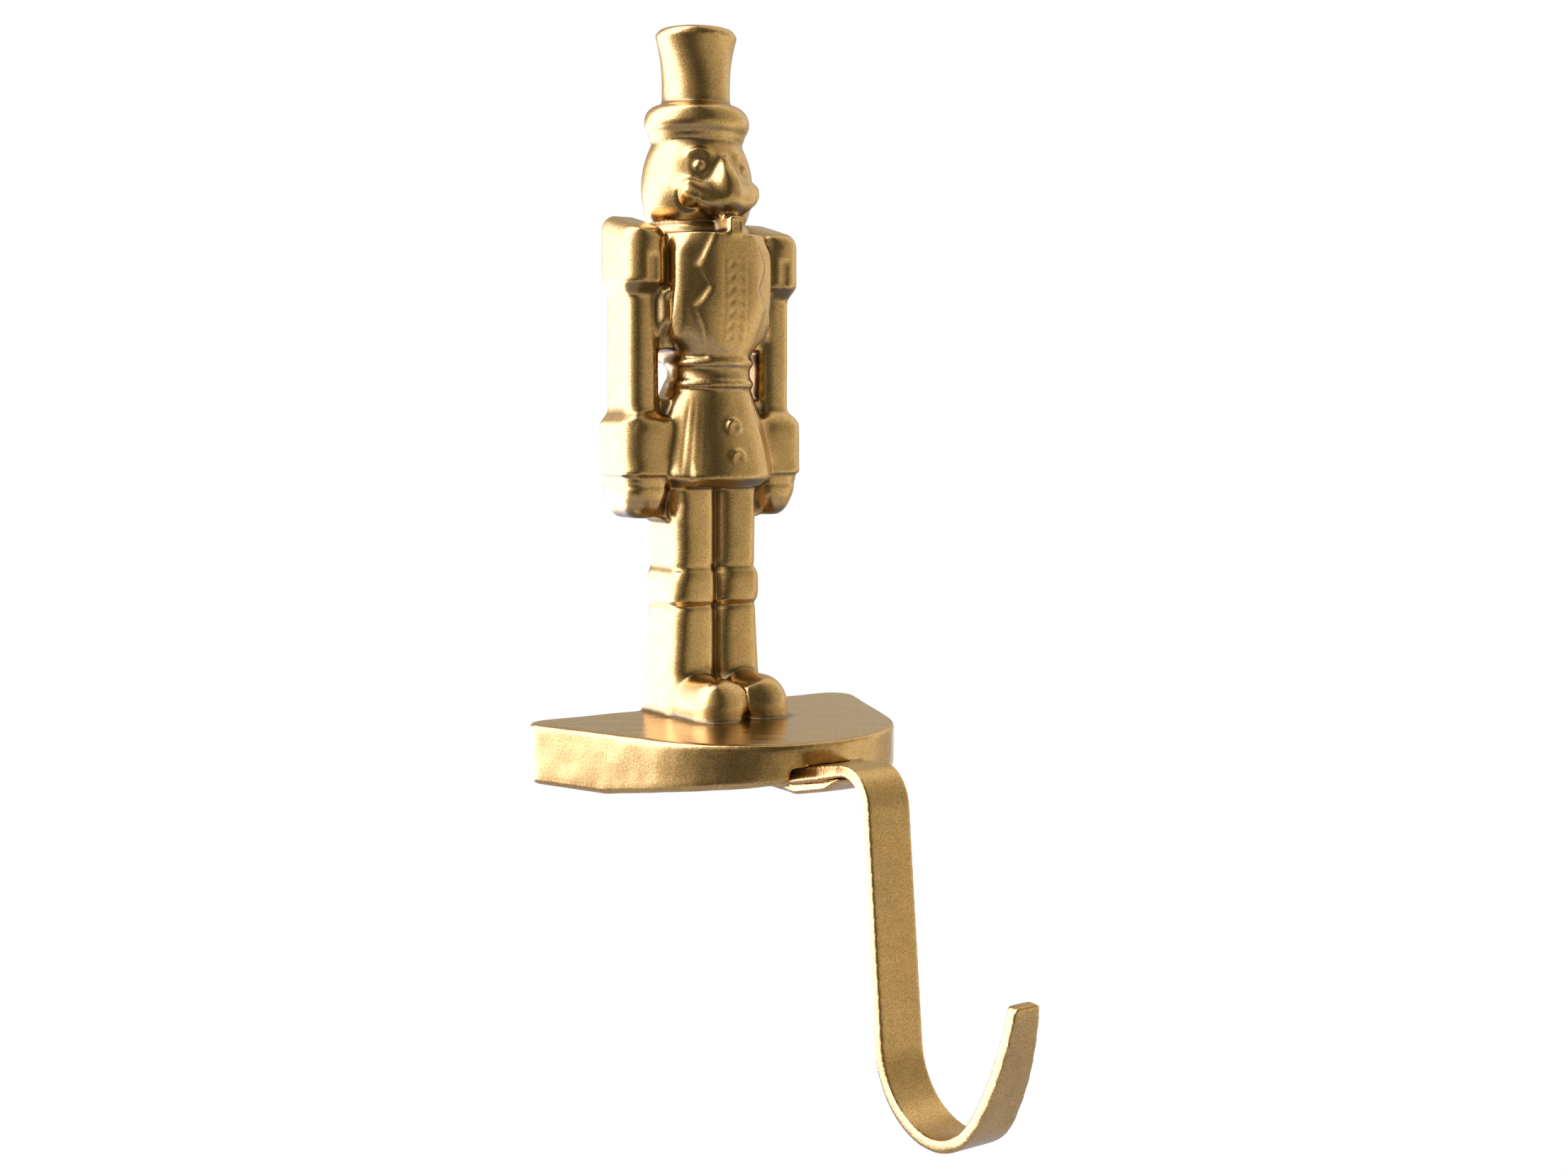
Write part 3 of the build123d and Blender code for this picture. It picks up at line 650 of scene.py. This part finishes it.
def studio_world():
    """Softboxes by direction for light and reflections, and plain white where the camera looks."""
    world = bpy.data.worlds.new("studio")
    bpy.context.scene.world = world
    world.use_nodes = True
    tree = world.node_tree
    tree.nodes.clear()
    links = tree.links

    def math_node(operation, first, second=None, third=None, clamp=False):
        """Output of a math node whose inputs are numbers or other outputs."""
        node = new_node(tree, "ShaderNodeMath", operation=operation, use_clamp=clamp)
        for socket, value in zip(node.inputs, (first, second, third)):
            if isinstance(value, (int, float)):
                socket.default_value = value
            elif value is not None:
                links.new(value, socket)
        return node.outputs["Value"]

    direction = new_node(tree, "ShaderNodeTexCoord").outputs["Generated"]
    to_camera = (-math.sin(YAW), -math.cos(YAW), 0.0)
    to_right = (math.cos(YAW), -math.sin(YAW), 0.0)
    parts = []
    for axis in (to_camera, to_right, (0.0, 0.0, 1.0)):
        node = new_node(tree, "ShaderNodeVectorMath", operation="DOT_PRODUCT")
        links.new(direction, node.inputs[0])
        node.inputs[1].default_value = axis
        parts.append(node.outputs["Value"])
    azimuth = math_node("ARCTAN2", parts[1], parts[0])
    elevation = math_node("ARCSINE", parts[2])
    above = math_node("MINIMUM", math_node("MAXIMUM", elevation, 0.0), LEAN_LIMIT)
    under = math_node("MAXIMUM", math_node("MINIMUM", elevation, 0.0), -LEAN_LIMIT)
    leaned = math_node("MULTIPLY_ADD", above, -LEAN_ABOVE, azimuth)
    leaned = math_node("MULTIPLY_ADD", under, -LEAN_BELOW, leaned)
    turn = new_node(tree, "ShaderNodeMapRange", {"From Min": -math.pi, "From Max": math.pi})
    links.new(leaned, turn.inputs["Value"])
    ring = new_node(tree, "ShaderNodeValToRGB")
    elements = ring.color_ramp.elements
    while len(elements) < len(STUDIO):
        elements.new(0.5)
    for element, (angle, level) in zip(elements, STUDIO):
        element.position = (angle + 180) / 360
        share = min(max((level - COOL_FROM) / COOL_SPAN, 0.0), 1.0)
        tone = [dark + (bright - dark) * share for dark, bright in zip(WARM_DARK, COOL_BRIGHT)]
        element.color = (*(level / STUDIO_PEAK * part for part in tone), 1.0)
    links.new(turn.outputs["Result"], ring.inputs["Fac"])
    light = new_node(tree, "ShaderNodeBackground", {"Strength": STUDIO_PEAK})
    links.new(ring.outputs["Color"], light.inputs["Color"])
    plain = {"Color": (1.0, 1.0, 1.0, 1.0), "Strength": 1.0}
    white = new_node(tree, "ShaderNodeBackground", plain)

    path = new_node(tree, "ShaderNodeLightPath")
    aside = math_node("SUBTRACT", math_node("ABSOLUTE", azimuth), PATCH_EDGE)
    below = math_node("SUBTRACT", PATCH_TOP, elevation)
    across = math_node("DIVIDE", aside, PATCH_SOFT, clamp=True)
    low = math_node("DIVIDE", below, PATCH_SOFT, clamp=True)
    by_gloss, by_glass = path.outputs["Is Glossy Ray"], path.outputs["Is Transmission Ray"]
    mirrored = math_node("MAXIMUM", by_gloss, by_glass)
    shown = math_node("MULTIPLY", mirrored, math_node("MULTIPLY", across, low))
    mix = new_node(tree, "ShaderNodeMixShader")
    links.new(math_node("MAXIMUM", path.outputs["Is Camera Ray"], shown), mix.inputs["Fac"])
    links.new(light.outputs["Background"], mix.inputs[1])
    links.new(white.outputs["Background"], mix.inputs[2])
    output = new_node(tree, "ShaderNodeOutputWorld")
    links.new(mix.outputs["Shader"], output.inputs["Surface"])


def pale_floor():
    """White round floor well below the hook, which keeps the object's soft shadow."""
    mesh = bpy.data.meshes.new("floor")
    work = bmesh.new()
    bmesh.ops.create_circle(work, cap_ends=True, segments=FLOOR_SEGMENTS, radius=FLOOR_RADIUS)
    work.to_mesh(mesh)
    work.free()
    floor = bpy.data.objects.new("floor", mesh)
    floor.location = (0.0, 0.0, FLOOR_LEVEL)
    bpy.context.scene.collection.objects.link(floor)
    material = bpy.data.materials.new("floor_white")
    material.use_nodes = True
    tree = material.node_tree
    tree.nodes.clear()
    links = tree.links
    matt = new_node(tree, "ShaderNodeBsdfDiffuse", {"Color": FLOOR_GREY})
    glow = new_node(tree, "ShaderNodeEmission", {"Color": FLOOR_GLOW})
    path = new_node(tree, "ShaderNodeLightPath")
    links.new(path.outputs["Is Camera Ray"], glow.inputs["Strength"])
    both = new_node(tree, "ShaderNodeAddShader")
    links.new(matt.outputs["BSDF"], both.inputs[0])
    links.new(glow.outputs["Emission"], both.inputs[1])
    output = new_node(tree, "ShaderNodeOutputMaterial")
    links.new(both.outputs["Shader"], output.inputs["Surface"])
    mesh.materials.append(material)


bpy.context.scene.view_settings.view_transform = "Standard"
place_camera()
studio_world()
pale_floor()
cast_body(satin_gold("gold_casting", CASTING_GRAIN_DEPTH))
bent_strap(satin_gold("gold_strap", STRAP_GRAIN_DEPTH))
